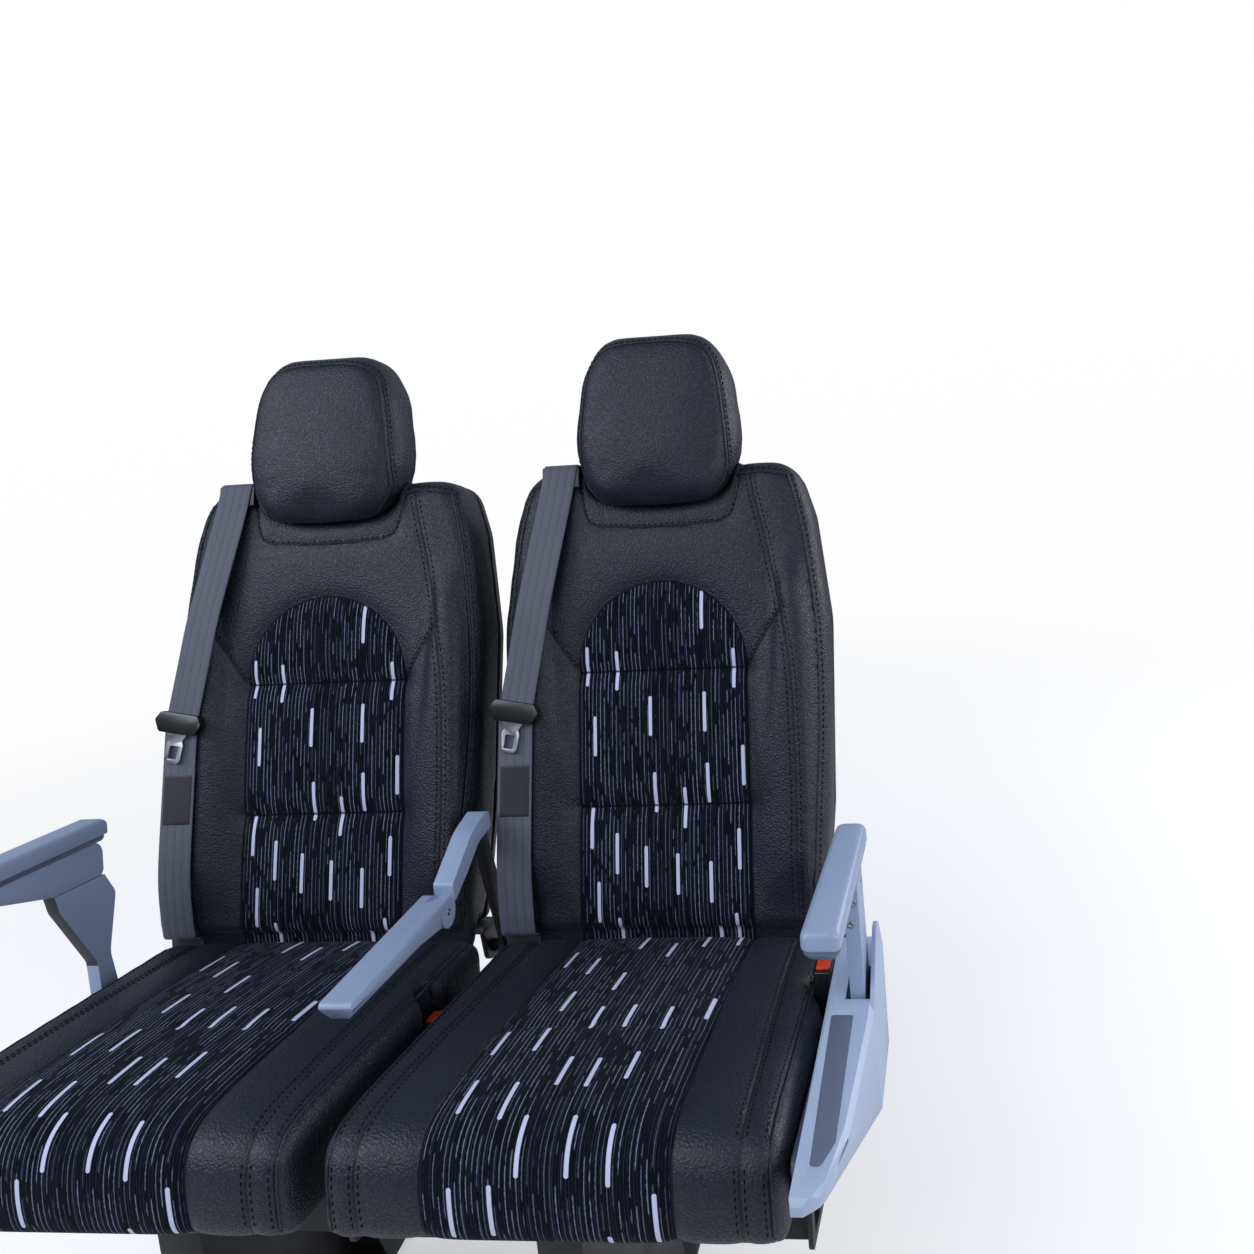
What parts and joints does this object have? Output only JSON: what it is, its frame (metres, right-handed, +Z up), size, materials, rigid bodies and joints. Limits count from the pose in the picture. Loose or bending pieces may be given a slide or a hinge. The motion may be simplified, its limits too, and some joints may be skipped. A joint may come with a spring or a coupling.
{
  "type": "twin coach passenger seat",
  "caption": "Window and aisle coach seats on one frame, with reclining backs, sliding headrests, folding centre armrest, lowering aisle armrest and shoulder belts.",
  "frame": {"origin": "on the floor, at the middle of the four floor bolts", "axes": "+Z up, the seats face -Y, +X towards the aisle"},
  "size_m": [1, 0.7817, 1.1575],
  "materials": {
    "frame_steel": "satin powder coat",
    "seat_leather": "fine grained, matt",
    "moulded_light": "satin",
    "moulded_mid": "satin",
    "moulded_dark": "satin",
    "rod_chrome": "polished",
    "webbing": "woven",
    "buckle_black": "satin",
    "button_red": "satin",
    "fitting_steel": "zinc plated",
    "board": "plywood, bare"
  },
  "bodies": {
    "frame": {"leg_window": "frame_steel", "leg_aisle": "frame_steel", "front_beam": "frame_steel", "rear_beam": "frame_steel", "side_plate_window": "frame_steel", "side_plate_centre": "frame_steel", "side_plate_aisle": "frame_steel", "pan_window": "board", "cushion_window": "seat_leather", "belt_tail_window": "webbing", "belt_anchor_window": "fitting_steel", "buckle_window": "buckle_black", "buckle_stalk_window": "fitting_steel", "pan_aisle": "board", "cushion_aisle": "seat_leather", "belt_tail_aisle": "webbing", "belt_anchor_aisle": "fitting_steel", "buckle_aisle": "buckle_black", "buckle_stalk_aisle": "fitting_steel", "buckle_buttons": "button_red", "centre_arm_stub": "moulded_light", "aisle_arm_guide": "frame_steel", "aisle_cover": "moulded_light", "aisle_cover_inset": "moulded_mid", "aisle_trim": "moulded_mid", "window_arm_bracket": "moulded_light", "window_arm_body": "moulded_light", "window_arm_base": "moulded_mid", "window_arm_cap": "moulded_light"},
    "backrest_window": {"back_pad_window": "seat_leather", "back_shell_window": "moulded_dark", "back_carrier_window": "frame_steel", "back_pocket_window": "moulded_mid", "headrest_sleeves_window": "moulded_dark", "belt_guide_window": "buckle_black", "belt_webbing_window": "webbing", "belt_tongue_window": "buckle_black"},
    "backrest_aisle": {"back_pad_aisle": "seat_leather", "back_shell_aisle": "moulded_dark", "back_carrier_aisle": "frame_steel", "back_pocket_aisle": "moulded_mid", "headrest_sleeves_aisle": "moulded_dark", "belt_guide_aisle": "buckle_black", "belt_webbing_aisle": "webbing", "belt_tongue_aisle": "buckle_black"},
    "headrest_unit_window": {"headrest_window": "seat_leather", "headrest_rods_window": "rod_chrome"},
    "headrest_unit_aisle": {"headrest_aisle": "seat_leather", "headrest_rods_aisle": "rod_chrome"},
    "centre_armrest": {"centre_arm": "moulded_light", "centre_arm_pin": "fitting_steel"},
    "aisle_armrest": {"aisle_arm_cap": "moulded_light", "aisle_arm_base": "moulded_mid", "aisle_arm_post": "moulded_light"}
  },
  "joints": [
    {"name": "recline_window", "type": "hinge", "parent": "frame", "child": "backrest_window", "pos_m": [0, 0.20597, 0.38268], "axis": [-1, 0, 0], "range_deg": [0, 15]},
    {"name": "recline_aisle", "type": "hinge", "parent": "frame", "child": "backrest_aisle", "pos_m": [0, 0.20597, 0.38268], "axis": [-1, 0, 0], "range_deg": [0, 15]},
    {"name": "headrest_slide_window", "type": "slide", "parent": "backrest_window", "child": "headrest_unit_window", "axis": [0, 0.309, 0.9511], "range_m": [0, 0.06]},
    {"name": "headrest_slide_aisle", "type": "slide", "parent": "backrest_aisle", "child": "headrest_unit_aisle", "axis": [0, 0.309, 0.9511], "range_m": [0, 0.06]},
    {"name": "centre_armrest_fold", "type": "hinge", "parent": "frame", "child": "centre_armrest", "pos_m": [0, 0.021, 0.533], "axis": [-1, 0, 0], "range_deg": [0, 85]},
    {"name": "aisle_armrest_slide", "type": "slide", "parent": "frame", "child": "aisle_armrest", "axis": [0, 0, -1], "range_m": [0, 0.07]}
  ]
}
